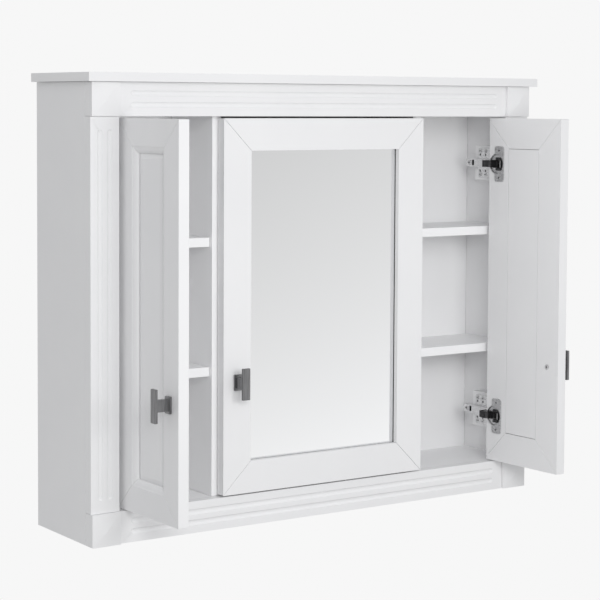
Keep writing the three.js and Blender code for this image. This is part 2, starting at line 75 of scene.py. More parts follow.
# ---- Studio: brightness where 1 is white, lamps in watts ----
PALE = 0.93  # the floor and the surround, as the camera sees them
SURROUND_LIGHT = 0.61  # what the surround casts on the cabinet
SURROUND_TINT = (0.97, 0.98, 1.0)
FLOOR_DROP = 0.9  # cabinet bottom to the floor
FLOOR_RADIUS = 400.0
FLOOR_LIGHT = 0.41  # what the floor casts on the cabinet
FLOOR_FAR = 0.60  # the far floor, as reflections see it
FLOOR_FADE = 1.5  # how much brighter it is 1 m away, falling off with distance
FLOOR_SIDE_GLOW = 0.18  # how much brighter it is far to the right
FLOOR_SIDE_SPAN = (0.45, 0.70)  # sine of the heading where that starts and where it is full
KEY_LAMP = {"place": (-1.2, -2.6, 0.5), "target": (0.1, -0.1, -0.2), "size": 1.0, "power": 19.2}
FILL_LAMP = {"place": (-0.12, -1.5, -0.1), "target": (0.1, -0.1, -0.3), "size": 0.45, "power": 3.9}

# ---- Doors: the side their hinges are on, and their joints ----
DOORS = {"left_door": -1, "mirror_door": 1, "right_door": 1}
JOINTS = {joint["name"]: joint for joint in frame["record"]["behaviour"]["joints"]}


def make_camera():
    data = bpy.data.cameras.new("camera")
    data.lens = CAMERA_LENS
    data.shift_y = CAMERA_SHIFT
    data.clip_end = CAMERA_REACH
    camera = bpy.data.objects.new("camera", data)
    bpy.context.scene.collection.objects.link(camera)
    camera.matrix_world = (
        Matrix.Translation(CAMERA_PLACE)
        @ Matrix.Rotation(-CAMERA_HEADING, 4, "Z")
        @ Matrix.Rotation(math.pi / 2 - CAMERA_DIP, 4, "X")
        @ Matrix.Rotation(CAMERA_ROLL, 4, "Z")
    )
    bpy.context.scene.camera = camera


# ---- Materials ----
class Surface:
    """A Principled material with short ways to add procedural detail, in object coordinates."""

    def __init__(self, name, metallic=0.0, **sockets):
        self.material = bpy.data.materials.new(name)
        self.material.use_nodes = True
        self.tree = self.material.node_tree
        self.shader = self.tree.nodes["Principled BSDF"]
        self.shader.inputs["Metallic"].default_value = metallic
        for socket, value in sockets.items():
            self.shader.inputs[socket.replace("_", " ")].default_value = value
        self.place = self.tree.nodes.new("ShaderNodeTexCoord").outputs["Object"]

    def link(self, source, target):
        self.tree.links.new(source, target)

    def stretched(self, stretch):
        """Object coordinates scaled by a factor on each axis."""
        node = self.tree.nodes.new("ShaderNodeMapping")
        node.inputs["Scale"].default_value = stretch
        self.link(self.place, node.inputs["Vector"])
        return node.outputs["Vector"]

    def noise(self, scale, detail=2.0, stretch=(1, 1, 1), distortion=0.0):
        """Noise with features about 1/scale metres across."""
        node = self.tree.nodes.new("ShaderNodeTexNoise")
        node.inputs["Scale"].default_value = scale
        node.inputs["Detail"].default_value = detail
        node.inputs["Distortion"].default_value = distortion
        self.link(self.stretched(stretch), node.inputs["Vector"])
        return node.outputs["Fac"]

    def ranged(self, value, low, high, start=0.3, end=0.7):
        node = self.tree.nodes.new("ShaderNodeMapRange")
        node.inputs["From Min"].default_value = start
        node.inputs["From Max"].default_value = end
        node.inputs["To Min"].default_value = low
        node.inputs["To Max"].default_value = high
        self.link(value, node.inputs["Value"])
        return node.outputs["Result"]

    def math(self, operation, first, second):
        node = self.tree.nodes.new("ShaderNodeMath")
        node.operation = operation
        for socket, value in zip(node.inputs, (first, second)):
            if isinstance(value, (int, float)):
                socket.default_value = value
            else:
                self.link(value, socket)
        return node.outputs["Value"]

    def choose(self, switch, when_on, when_off):
        """One of two values, by a switch that is 0 or 1."""
        node = self.tree.nodes.new("ShaderNodeMix")
        self.link(switch, node.inputs["Factor"])
        for socket, value in ((node.inputs["A"], when_off), (node.inputs["B"], when_on)):
            if isinstance(value, (int, float)):
                socket.default_value = value
            else:
                self.link(value, socket)
        return node.outputs["Result"]

    def colour(self, value, *stops):
        """Base colour from stops of (position, colour)."""
        node = self.tree.nodes.new("ShaderNodeValToRGB")
        ramp = node.color_ramp
        while len(ramp.elements) < len(stops):
            ramp.elements.new(0.5)
        for element, (position, colour) in zip(ramp.elements, stops):
            element.position = position
            element.color = (*colour, 1)
        self.link(value, node.inputs["Fac"])
        self.link(node.outputs["Color"], self.shader.inputs["Base Color"])

    def roughness(self, value, low, high):
        self.link(self.ranged(value, low, high), self.shader.inputs["Roughness"])

    def bump(self, *layers):
        """Relief from layers of (height, depth in metres), finest last."""
        normal = None
        for height, depth in layers:
            node = self.tree.nodes.new("ShaderNodeBump")
            node.inputs["Distance"].default_value = depth
            self.link(height, node.inputs["Height"])
            if normal:
                self.link(normal, node.inputs["Normal"])
            normal = node.outputs["Normal"]
        self.link(normal, self.shader.inputs["Normal"])


LACQUER_MOTTLE = 0.02  # how much darker the lacquer's darkest patches are
LACQUER_BLUE = (0.008, 0.005)  # extra blue of the dark and of the light patches
FRONT_WHITE = 0.90
# Painted light: the inside panels take a lighter white than the front, so that the shaded bays read
# brighter; the cabinet is one white lacquer throughout.
INSIDE_WHITE_PAINTED_LIGHT = 0.965


def white_lacquer(name, white):
    """Satin lacquer on MDF: a near-even white, faint mottling and a fine orange peel."""
    s = Surface(name, Coat_Weight=0.12, Coat_Roughness=0.32)
    dull = white - LACQUER_MOTTLE
    dark_patch = (dull, dull, dull + LACQUER_BLUE[0])
    light_patch = (white, white, white + LACQUER_BLUE[1])
    s.colour(s.noise(scale=9, detail=3), (0.3, dark_patch), (0.7, light_patch))
    s.roughness(s.noise(scale=45, detail=3), low=0.40, high=0.50)
    waves = s.noise(scale=28, detail=1)
    orange_peel = s.noise(scale=620, detail=2)
    s.bump((waves, 0.05 * MM), (orange_peel, 0.012 * MM))
    return s.material


def raw_board():
    """Unpainted MDF: warm grey-brown, fibrous, matt."""
    s = Surface("raw_board", Roughness=0.82)
    fibres = s.noise(scale=240, detail=6, stretch=(1, 1, 3), distortion=0.6)
    s.colour(fibres, (0.25, (0.42, 0.33, 0.23)), (0.75, (0.62, 0.51, 0.38)))
    s.bump((fibres, 0.15 * MM))
    return s.material


def silvered_glass():
    """Float glass, seen by the silvering on its back."""
    s = Surface("silvered_glass", metallic=1.0)
    s.colour(s.noise(scale=1.2, detail=1), (0.3, (0.90, 0.905, 0.915)), (0.7, (0.93, 0.935, 0.94)))
    s.roughness(s.noise(scale=14, detail=4), low=0.006, high=0.022)
    return s.material


def nickel_steel():
    """Nickel-plated pressed steel."""
    s = Surface("nickel_steel", metallic=1.0)
    streaks = s.noise(scale=160, detail=4, stretch=(1, 1, 9))
    s.colour(streaks, (0.3, (0.62, 0.62, 0.625)), (0.7, (0.80, 0.80, 0.805)))
    s.roughness(streaks, low=0.24, high=0.36)
    s.bump((s.noise(scale=300, detail=2), 0.02 * MM))
    return s.material


def dark_steel_and_shade():
    """Oiled dark links and the damper housing in the cup; also the painted shade in screw recesses, in the
    mounting plate's holes and inside the arm's channel.
    """
    s = Surface("dark_steel_and_shade", metallic=0.7)
    s.colour(s.noise(scale=220, detail=3), (0.3, (0.030, 0.030, 0.032)), (0.7, (0.075, 0.075, 0.078)))
    s.roughness(s.noise(scale=120, detail=3), low=0.30, high=0.45)
    return s.material


def black_nickel():
    """Satin black-nickel handles, brushed along the bar."""
    s = Surface("black_nickel", metallic=1.0)
    brushing = s.noise(scale=900, detail=3, stretch=(1, 1, 0.04))
    s.colour(brushing, (0.3, (0.16, 0.16, 0.165)), (0.7, (0.27, 0.27, 0.275)))
    s.roughness(brushing, low=0.30, high=0.42)
    s.bump((brushing, 0.012 * MM))
    return s.material


def foam_tape_and_shade_line():
    """Black closed-cell foam tape round the mirror; the strip of it that shows inside the frame's lip is a
    painted shade line in the rebate.
    """
    s = Surface("foam_tape_and_shade_line", Roughness=0.9, Specular_IOR_Level=0.2)
    cells = s.noise(scale=1800, detail=3)
    s.colour(cells, (0.3, (0.012, 0.012, 0.013)), (0.7, (0.030, 0.030, 0.032)))
    s.bump((cells, 0.05 * MM))
    return s.material


def studio_floor():
    """One even tone to the camera, another that lights the cabinet, and a fading one in reflections."""
    s = Surface("studio_floor", Roughness=1.0, Specular_IOR_Level=0.0)
    s.shader.inputs["Base Color"].default_value = (0, 0, 0, 1)
    s.shader.inputs["Emission Color"].default_value = (1, 1, 1, 1)
    distance = s.tree.nodes.new("ShaderNodeVectorMath")
    distance.operation = "LENGTH"
    s.link(s.place, distance.inputs[0])
    axes = s.tree.nodes.new("ShaderNodeSeparateXYZ")
    s.link(s.place, axes.inputs[0])
    far = distance.outputs["Value"]
    fade = s.math("DIVIDE", FLOOR_FADE, far)
    sideways = s.math("DIVIDE", axes.outputs["X"], far)
    side_glow = s.ranged(sideways, 0.0, FLOOR_SIDE_GLOW, *FLOOR_SIDE_SPAN)
    glow = s.math("ADD", fade, side_glow)
    mirrored = s.math("MINIMUM", s.math("ADD", glow, FLOOR_FAR), 1.0)
    path = s.tree.nodes.new("ShaderNodeLightPath")
    shown = s.choose(path.outputs["Is Glossy Ray"], mirrored, FLOOR_LIGHT)
    strength = s.choose(path.outputs["Is Camera Ray"], PALE, shown)
    s.link(strength, s.shader.inputs["Emission Strength"])
    return s.material


MATERIALS = {
    "white_lacquer": white_lacquer("white_lacquer", FRONT_WHITE),
    "raw_board": raw_board(),
    "silvered_glass": silvered_glass(),
    "hinge_steel": nickel_steel(),
    "handle_metal": black_nickel(),
}
DARK_STEEL_AND_SHADE = dark_steel_and_shade()
FOAM_TAPE_AND_SHADE_LINE = foam_tape_and_shade_line()
# The lighter copy of the lacquer for the inside panels is painted light in the bays.
INNER_WHITE_PAINTED_LIGHT = white_lacquer("inner_white_painted_light", INSIDE_WHITE_PAINTED_LIGHT)
INNER_PANELS = ("back_panel", "bottom_panel", "top_panel", "divider_", "shelf_", "hinge_block_")


# ---- Studio ----
def make_floor():
    floor_mesh = bpy.data.meshes.new("floor")
    edit = bmesh.new()
    bmesh.ops.create_circle(edit, cap_ends=True, radius=FLOOR_RADIUS, segments=64)
    edit.to_mesh(floor_mesh)
    edit.free()
    floor = bpy.data.objects.new("floor", floor_mesh)
    bpy.context.scene.collection.objects.link(floor)
    floor.location.z = CAD_LOW.z - FLOOR_DROP
    floor_mesh.materials.append(studio_floor())


def make_world():
    """An even pale surround: what lights the cabinet is set apart from what the camera sees."""
    world = bpy.data.worlds.new("studio")
    bpy.context.scene.world = world
    world.use_nodes = True
    tree = world.node_tree
    tree.nodes.clear()
    seen = tree.nodes.new("ShaderNodeBackground")
    seen.inputs["Color"].default_value = (PALE, PALE, PALE, 1)
    lighting = tree.nodes.new("ShaderNodeBackground")
    lighting.inputs["Color"].default_value = (*SURROUND_TINT, 1)
    lighting.inputs["Strength"].default_value = SURROUND_LIGHT
    path = tree.nodes.new("ShaderNodeLightPath")
    mix = tree.nodes.new("ShaderNodeMixShader")
    output = tree.nodes.new("ShaderNodeOutputWorld")
    tree.links.new(path.outputs["Is Diffuse Ray"], mix.inputs["Fac"])
    tree.links.new(seen.outputs["Background"], mix.inputs[1])
    tree.links.new(lighting.outputs["Background"], mix.inputs[2])
    tree.links.new(mix.outputs["Shader"], output.inputs["Surface"])


def make_light(name, place, target, size, power):
    data = bpy.data.lights.new(name, "AREA")
    data.shape = "DISK"
    data.size = size
    data.energy = power
    light = bpy.data.objects.new(name, data)
    bpy.context.scene.collection.objects.link(light)
    light.location = place
    light.rotation_euler = (Vector(target) - Vector(place)).to_track_quat("-Z", "Y").to_euler()
    light.visible_camera = False
    light.visible_glossy = False


# ---- Edge softening on the CAD pieces ----
SHARP = math.radians(30)
WELD_REACH = 0.005 * MM
HANDLE_ARRIS = 0.7 * MM
RAISED_PANEL_ARRIS = 0.8 * MM
DOOR_ARRIS = 0.25 * MM
BOARD_ARRIS = 0.6 * MM


def smooth_by_angle(limit):
    """A node group that shades faces smooth except across edges sharper than the limit."""
    group = bpy.data.node_groups.new("smooth_by_angle", "GeometryNodeTree")
    group.interface.new_socket("Geometry", in_out="INPUT", socket_type="NodeSocketGeometry")
    group.interface.new_socket("Geometry", in_out="OUTPUT", socket_type="NodeSocketGeometry")
    nodes = group.nodes
    enter = nodes.new("NodeGroupInput")
    leave = nodes.new("NodeGroupOutput")
    faces = nodes.new("GeometryNodeSetShadeSmooth")
    edges = nodes.new("GeometryNodeSetShadeSmooth")
    edges.domain = "EDGE"
    angle = nodes.new("GeometryNodeInputMeshEdgeAngle")
    compare = nodes.new("FunctionNodeCompare")
    compare.operation = "LESS_THAN"
    compare.inputs["B"].default_value = limit
    group.links.new(angle.outputs["Unsigned Angle"], compare.inputs["A"])
    group.links.new(enter.outputs[0], faces.inputs["Geometry"])
    group.links.new(faces.outputs["Geometry"], edges.inputs["Geometry"])
    group.links.new(compare.outputs["Result"], edges.inputs["Shade Smooth"])
    group.links.new(edges.outputs["Geometry"], leave.inputs[0])
    return group


SMOOTHING = smooth_by_angle(SHARP)


def soften(obj, radius, segments=2):
    """Rounds the arrises and shades gentle curves smooth."""
    weld = obj.modifiers.new("weld", "WELD")
    weld.merge_threshold = WELD_REACH
    bevel = obj.modifiers.new("arris", "BEVEL")
    bevel.width = radius
    bevel.segments = segments
    bevel.limit_method = "ANGLE"
    bevel.angle_limit = SHARP
    bevel.use_clamp_overlap = True
    smooth = obj.modifiers.new("smooth", "NODES")
    smooth.node_group = SMOOTHING
    weighted = obj.modifiers.new("weighted", "WEIGHTED_NORMAL")
    weighted.keep_sharp = True


def finish_cad_nodes():
    slots = {row["node"]: row["material_slot"] for row in frame["record"]["subparts"]}
    for name, node in NODES.items():
        node.data.materials.clear()
        inner = name.startswith(INNER_PANELS)
        # Inside panels get the lighter white: painted light that brightens the bays.
        node.data.materials.append(INNER_WHITE_PAINTED_LIGHT if inner else MATERIALS[slots[name]])
        if slots[name] == "handle_metal":
            soften(node, HANDLE_ARRIS, segments=3)
        elif name.endswith("raised_panel"):
            soften(node, RAISED_PANEL_ARRIS)
        elif "_door_" in name:
            soften(node, DOOR_ARRIS)
        elif slots[name] != "silvered_glass":
            soften(node, BOARD_ARRIS)


# ---- Shapes for the hardware, in millimetres ----
# A plate is drawn in its own (u, v) plane and thickened along w. These say how it lies in a door's axes.
FACING_REAR = Matrix(((1, 0, 0, 0), (0, 0, 1, 0), (0, 1, 0, 0), (0, 0, 0, 1)))  # u = x, v = z, w = y
FACING_SIDE = Matrix(((0, 0, 1, 0), (1, 0, 0, 0), (0, 1, 0, 0), (0, 0, 0, 1)))  # u = y, v = z, w = x
FACING_INSIDE = Matrix.Diagonal((-1, 1, 1, 1)) @ FACING_SIDE  # u = y, v = z, w = -x
UPRIGHT = Matrix.Identity(4)  # u = x, v = y, w = z
CORNER_SHARE = 0.49  # the most of a side that one rounded corner takes
TOUCHING = 1e-4  # points closer than this are one point


def corner(before, at, after, radius, steps):
    """Points of a rounded corner."""
    before, at, after = Vector(before), Vector(at), Vector(after)
    start = at + (before - at).normalized() * min(radius, (before - at).length * CORNER_SHARE)
    end = at + (after - at).normalized() * min(radius, (after - at).length * CORNER_SHARE)
    points = []
    for i in range(steps + 1):
        t = i / steps
        points.append(start * (1 - t) ** 2 + at * 2 * t * (1 - t) + end * t**2)
    return points


def rounded(points, radius, steps=4):
    """A closed outline with each corner rounded."""
    outline = []
    for i, at in enumerate(points):
        outline += corner(points[i - 1], at, points[(i + 1) % len(points)], radius, steps)
    return outline


def rectangle(width, height, centre=(0, 0)):
    u, v = centre
    w, h = width / 2, height / 2
    return [(u - w, v - h), (u + w, v - h), (u + w, v + h), (u - w, v + h)]


def circle(radius, centre=(0, 0), segments=32):
    turns = (2 * math.pi * i / segments for i in range(segments))
    return [(centre[0] + radius * math.cos(t), centre[1] + radius * math.sin(t)) for t in turns]


def cross(reach, width):
    """A Phillips recess."""
    r, w = reach, width / 2
    quarter = [(r, -w), (r, w), (w, w)]
    points = []
    for u, v in ((1, 0), (0, 1), (-1, 0), (0, -1)):
        points += [(u * a - v * b, v * a + u * b) for a, b in quarter]
    return points


def band(points, thickness, radius, steps=6):
    """The outline of a bent strip along points."""
    line = [Vector(points[0])]
    for i in range(1, len(points) - 1):
        line += corner(points[i - 1], points[i], points[i + 1], radius, steps)
    line.append(Vector(points[-1]))
    sides = ([], [])
    for i, at in enumerate(line):
        along = (line[min(i + 1, len(line) - 1)] - line[max(i - 1, 0)]).normalized()
        across = Vector((-along.y, along.x)) * thickness / 2
        sides[0].append(at + across)
        sides[1].append(at - across)
    return sides[0] + sides[1][::-1]


def plate(loops, low, high, arris):
    """A flat part with softened edges. The first loop is its outline and the others are holes."""
    curve = bpy.data.curves.new("plate", "CURVE")
    curve.dimensions = "2D"
    curve.fill_mode = "BOTH"
    curve.extrude = (high - low) / 2 - arris
    curve.bevel_depth = arris
    curve.bevel_resolution = 1
    curve.offset = -arris
    for loop in loops:
        spline = curve.splines.new("POLY")
        spline.points.add(len(loop) - 1)
        for point, place in zip(spline.points, loop):
            point.co = (place[0], place[1], 0, 1)
        spline.use_cyclic_u = True
    holder = bpy.data.objects.new("plate", curve)
    mesh = bpy.data.meshes.new_from_object(holder)
    mesh.transform(Matrix.Translation((0, 0, (low + high) / 2)))
    bpy.data.objects.remove(holder)
    bpy.data.curves.remove(curve)
    return mesh


def lathe(profile, segments=40):
    """A closed profile of (radius, w) turned about the w axis."""
    edit = bmesh.new()
    rings = []
    for i in range(segments):
        turn = 2 * math.pi * i / segments
        places = [(r * math.cos(turn), r * math.sin(turn), w) for r, w in profile]
        rings.append([edit.verts.new(place) for place in places])
    for i, ring in enumerate(rings):
        beside = rings[(i + 1) % segments]
        for j in range(len(profile)):
            k = (j + 1) % len(profile)
            if profile[j][0] or profile[k][0]:
                edit.faces.new((ring[j], ring[k], beside[k], beside[j]))
    bmesh.ops.remove_doubles(edit, verts=edit.verts, dist=TOUCHING)
    mesh = bpy.data.meshes.new("lathe")
    edit.to_mesh(mesh)
    edit.free()
    return mesh


# ---- Hardware ----
STEEL = 0  # a piece's first material
DARK = 1  # and its second

# A screw's recess, as shares of the head's radius; its floor is a dark disc of painted shade
RECESS_REACH = 0.62
RECESS_WIDTH = 0.3
RECESS_SHADE_SHARE = 0.8
HEAD_LIFT = 0.1  # underside of the head
RECESS_SHADE_TOP = 0.2  # top of the dark disc at the recess floor, painted shade


class Hardware:
    """Gathers closed shapes in a door's own axes into one piece."""

    def __init__(self):
        self.edit = bmesh.new()

    def add(self, mesh, turn=UPRIGHT, place=(0, 0, 0), material=STEEL):
        mesh.transform(Matrix.Translation(place) @ turn)
        known = len(self.edit.faces)
        self.edit.from_mesh(mesh)
        self.edit.faces.ensure_lookup_table()
        fresh = list({vertex for face in self.edit.faces[known:] for vertex in face.verts})
        bmesh.ops.remove_doubles(self.edit, verts=fresh, dist=TOUCHING)
        self.edit.faces.ensure_lookup_table()
        for face in self.edit.faces[known:]:
            face.material_index = material
            face.smooth = True
        bpy.data.meshes.remove(mesh)

    def screw(self, turn, place, radius, head=1.0):
        """A Phillips head that stands on w = 0 at place."""
        recess = cross(radius * RECESS_REACH, radius * RECESS_WIDTH)
        self.add(plate([circle(radius), recess], HEAD_LIFT, head, arris=0.25), turn, place)
        # The recess floor is a dark disc: painted shade in the recess.
        floor = circle(radius * RECESS_SHADE_SHARE)
        self.add(plate([floor], 0.0, RECESS_SHADE_TOP, arris=0.05), turn, place, DARK)

    def make(self, name, axes, body, slot="hinge_steel", dark=DARK_STEEL_AND_SHADE):
        """The finished piece, with axes the placing of the door's own axes in the frame."""
        self.edit.transform(axes)
        bmesh.ops.recalc_face_normals(self.edit, faces=self.edit.faces)
        mesh = bpy.data.meshes.new(name)
        self.edit.to_mesh(mesh)
        self.edit.free()
        mesh.set_sharp_from_angle(angle=SHARP)
        mesh.materials.append(MATERIALS[slot])
        mesh.materials.append(dark)
        piece = bpy.data.objects.new(name, mesh)
        bpy.context.scene.collection.objects.link(piece)
        piece.modifiers.new("weighted", "WEIGHTED_NORMAL").keep_sharp = True
        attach(piece, body)
        return piece


# ---- Hinge cup, in millimetres about the hinge axis, door closed and its hinges on the right ----
WALL = 1.2  # pressed steel
DOOR_REAR = 10.0  # hinge axis to the door's rear face
CUP_X = -10.5
CUP_RADIUS = 17.5
CUP_BOTTOM = -3.4
CUP_FLOOR = -2.4
CUP_RIM = DOOR_REAR + 0.3
CUP_CHAMFER = 1.0
FLANGE_X = (-29.5, -6.5)
FLANGE_HALF = 31.0
FLANGE_BACK = 11.8
FLANGE_THICKNESS = 1.5
FLANGE_OVERLAP = 0.6  # how far the flange reaches over the cup's edge
FLANGE_INNER_ROUND = 5
FLANGE_OUTER_ROUND = 6
FLANGE_ARC_STEPS = 28
FLANGE_SCREW_X = -18.0
FLANGE_SCREW_Z = 24.0
FLANGE_SCREW_RADIUS = 3.7
DECK_RADIUS = 15.9  # the light segments that close the cup above and below the link
DECK_EDGE_HALF = 14.6
DECK_EDGE_Z = 6.6
DECK_LEVELS = (8.4, 9.6)
DECK_START = 0.46  # radians from the cup's middle line to the arc's first point
DECK_STEPS = 14
KNUCKLE_RADIUS = 1.7
KNUCKLE_HALF = 1.6
KNUCKLE_Z = 9
HOUSING_X = (-22.4, -9.0)  # the dark damper housing, a C that is open towards the link
HOUSING_HALF = 11.6
HOUSING_GAP_HALF = 6.4
HOUSING_GAP_END = -19.8
HOUSING_TOP = 12.2
STRIPE_X = -21.2
STRIPE_SIZE = (1.5, 12)
STRIPE_LEVELS = (12.0, 12.7)


def cup_bowl():
    """The bowl, with a rolled lip."""
    inner = CUP_RADIUS - WALL
    outside = [(0, CUP_BOTTOM), (CUP_RADIUS - CUP_CHAMFER, CUP_BOTTOM)]
    outside += [(CUP_RADIUS, CUP_BOTTOM + CUP_CHAMFER), (CUP_RADIUS, CUP_RIM)]
    lip = [(CUP_RADIUS + 0.9, CUP_RIM), (CUP_RADIUS + 0.7, CUP_RIM + 0.7)]
    lip += [(CUP_RADIUS - 0.3, CUP_RIM + 1.1), (inner, CUP_RIM + 0.6)]
    inside = [(inner, CUP_FLOOR + CUP_CHAMFER), (inner - CUP_CHAMFER, CUP_FLOOR), (0, CUP_FLOOR)]
    return lathe(outside + lip + inside, 56)


def cup_flange():
    """The flange on the door's rear face, with the cup's edge cut out of it."""
    left, right = FLANGE_X
    bite = CUP_RADIUS - FLANGE_OVERLAP
    reach = math.acos((right - CUP_X) / bite)
    middle = (right, 0)
    inner_top = (right, FLANGE_HALF)
    outer_top = (left, FLANGE_HALF)
    outer_foot = (left, -FLANGE_HALF)
    inner_foot = (right, -FLANGE_HALF)
    outline = corner(middle, inner_top, outer_top, FLANGE_INNER_ROUND, 5)
    outline += corner(inner_top, outer_top, outer_foot, FLANGE_OUTER_ROUND, 6)
    outline += corner(outer_top, outer_foot, inner_foot, FLANGE_OUTER_ROUND, 6)
    outline += corner(outer_foot, inner_foot, middle, FLANGE_INNER_ROUND, 5)
    for i in range(FLANGE_ARC_STEPS + 1):
        turn = -reach - (2 * math.pi - 2 * reach) * i / FLANGE_ARC_STEPS
        outline.append((CUP_X + bite * math.cos(turn), bite * math.sin(turn)))
    return plate([outline], FLANGE_BACK - FLANGE_THICKNESS, FLANGE_BACK, arris=0.3)


def cup_deck(side):
    """A light segment of the cup, above the link with side 1 and below it with side -1."""
    turns = [DECK_START + (math.pi - 2 * DECK_START) * i / DECK_STEPS for i in range(DECK_STEPS + 1)]
    edge = [(CUP_X + DECK_EDGE_HALF, DECK_EDGE_Z * side), (CUP_X - DECK_EDGE_HALF, DECK_EDGE_Z * side)]
    arc = [(CUP_X - DECK_RADIUS * math.cos(t), DECK_RADIUS * side * math.sin(t)) for t in turns]
    return plate([edge + arc], *DECK_LEVELS, arris=0.3)


def damper_housing():
    back, front = HOUSING_X
    half, gap = HOUSING_HALF, HOUSING_GAP_HALF
    outline = [(front, gap), (front, half), (back, half), (back, -half), (front, -half), (front, -gap)]
    outline += [(HOUSING_GAP_END, -gap), (HOUSING_GAP_END, gap)]
    return plate([rounded(outline, 1.5)], CUP_FLOOR - 0.1, HOUSING_TOP, arris=0.6)


def hinge_cup():
    cup = Hardware()
    cup.add(cup_bowl(), FACING_REAR, (CUP_X, 0, 0))
    cup.add(cup_flange(), FACING_REAR)
    for z in (-FLANGE_SCREW_Z, FLANGE_SCREW_Z):
        cup.screw(FACING_REAR, (FLANGE_SCREW_X, FLANGE_BACK, z), FLANGE_SCREW_RADIUS, head=1.1)
    for side in (-1, 1):
        cup.add(cup_deck(side), FACING_REAR)
        knuckle = plate([circle(KNUCKLE_RADIUS)], -KNUCKLE_HALF, KNUCKLE_HALF, arris=0.3)
        cup.add(knuckle, UPRIGHT, (0, 0, KNUCKLE_Z * side))
    cup.add(damper_housing(), FACING_REAR, material=DARK)
    stripe = rounded(rectangle(*STRIPE_SIZE, (STRIPE_X, 0)), 0.7)
    cup.add(plate([stripe], *STRIPE_LEVELS, arris=0.2), FACING_REAR)
    return cup


# ---- Hinge arm, in the same axes ----
SEAT_GAP = 0.3  # mounting plate to the face it sits on
LINK_THICKNESS = 2.4
LINK_HALF = 5.8
LINK_TURN = (-18.0, 20.2)  # where the cranked link turns towards the arm
LINK_END = 6  # how far the link goes into the arm
LINK_BEND = 5
EYE_RADIUS = 2.1
EYE_HALF = 6.0
SPRING_OFFSET = (3.2, -3.4)  # the light strip along the link, from the link's turn
SPRING_THICKNESS = 1.4
SPRING_HALF = 4.6
ARM_Y = (19.0, 91.0)
ARM_HALF = 7.0
ARM_HEIGHT = 10  # web to mounting plate
WEB_ROUND = 3.4
CHEEK_INSET = 2  # the cheeks' ends, from the arm's
CHEEK_FRONT_SLOPE = (4.5, 4, 16)  # its low end's depth and distance, and its high end's distance
CHEEK_REAR_SLOPE = (3.5, 7)  # its low end's depth and its high end's distance
SLOT_SIZE = (5.5, 9.6)
SLOT_FROM_REAR = 19.5
CHANNEL_SHADE_SHORTER = 8  # a dark sheet under the web, painted shade in the arm's channel; this much shorter than the arm
CHANNEL_SHADE_NARROWER = 3
CHANNEL_SHADE_LEVELS = (3.4, 4.4)
ADJUSTER = (14, 3.3)  # adjusting screw: distance from the arm's front, and radius
CAM = (9, 4.6)  # cam screw: distance from the arm's rear, and radius
PLATE_Y = (35.0, 67.0)
PLATE_HALF = 26.5
PLATE_THICKNESS = 2.4
PLATE_HOLE_RADIUS = 2.0
PLATE_HOLE_Z = 14.5
PLATE_HOLE_FROM_END = (12, 5)
HOLE_SHADE_MARGIN = 0.5  # painted shade in each hole: a dark disc, this much wider than the hole's edge
HOLE_SHADE_DEPTHS = (0.9, 0.4)
PLATE_SCREW_RADIUS = 3.4
PLATE_SCREW_Z = 21
PLATE_SCREW_FROM_END = (12, 5.5)
SMALL_STEPS = 20


def add_links(arm, foot):
    """The cranked link, its eye on the axis and the strip beside it."""
    turn_x, turn_y = LINK_TURN
    path = [(0, 0), (turn_x, 0), (turn_x, turn_y), (foot + LINK_END, turn_y)]
    link = band(path, LINK_THICKNESS, LINK_BEND)
    arm.add(plate([link], -LINK_HALF, LINK_HALF, arris=0.3), material=DARK)
    arm.add(plate([circle(EYE_RADIUS)], -EYE_HALF, EYE_HALF, arris=0.3), material=DARK)
    spring_y = turn_y + SPRING_OFFSET[1]
    spring = band([(turn_x + SPRING_OFFSET[0], spring_y), (foot + LINK_END, spring_y)], SPRING_THICKNESS, 1)
    arm.add(plate([spring], -SPRING_HALF, SPRING_HALF, arris=0.2))


def add_channel(arm, foot, top):
    """The arm itself: a slotted web, two cheeks, a dark sheet of painted shade under the web and two
    screws.
    """
    front, rear = ARM_Y
    length = rear - front
    middle = ((front + rear) / 2, 0)
    web = rounded(rectangle(length - 0.5, 2 * ARM_HALF, middle), WEB_ROUND, 5)
    slot = rounded(rectangle(*SLOT_SIZE, (rear - SLOT_FROM_REAR, 0)), 0.8, 3)
    arm.add(plate([web, slot], foot, foot + WALL, arris=0.35), FACING_SIDE)
    nose_depth, nose, brow = CHEEK_FRONT_SLOPE
    tail_depth, tail = CHEEK_REAR_SLOPE
    cheek = [(foot + 0.4, front + CHEEK_INSET), (foot + 0.4, rear - CHEEK_INSET)]
    cheek += [(top - tail_depth, rear - CHEEK_INSET), (top - WALL, rear - tail)]
    cheek += [(top - WALL, front + brow), (top - nose_depth, front + nose)]
    for low in (-ARM_HALF, ARM_HALF - WALL):
        arm.add(plate([rounded(cheek, 2)], low, low + WALL, arris=0.25))
    # The dark sheet inside the channel is painted shade.
    channel_shade = rounded(rectangle(length - CHANNEL_SHADE_SHORTER, 2 * ARM_HALF - CHANNEL_SHADE_NARROWER, middle), 2)
    low, high = CHANNEL_SHADE_LEVELS
    arm.add(plate([channel_shade], foot + low, foot + high, arris=0.2), FACING_SIDE, material=DARK)
    for y, radius in ((front + ADJUSTER[0], ADJUSTER[1]), (rear - CAM[0], CAM[1])):
        arm.screw(FACING_INSIDE, (foot + 0.2, y, 0), radius)


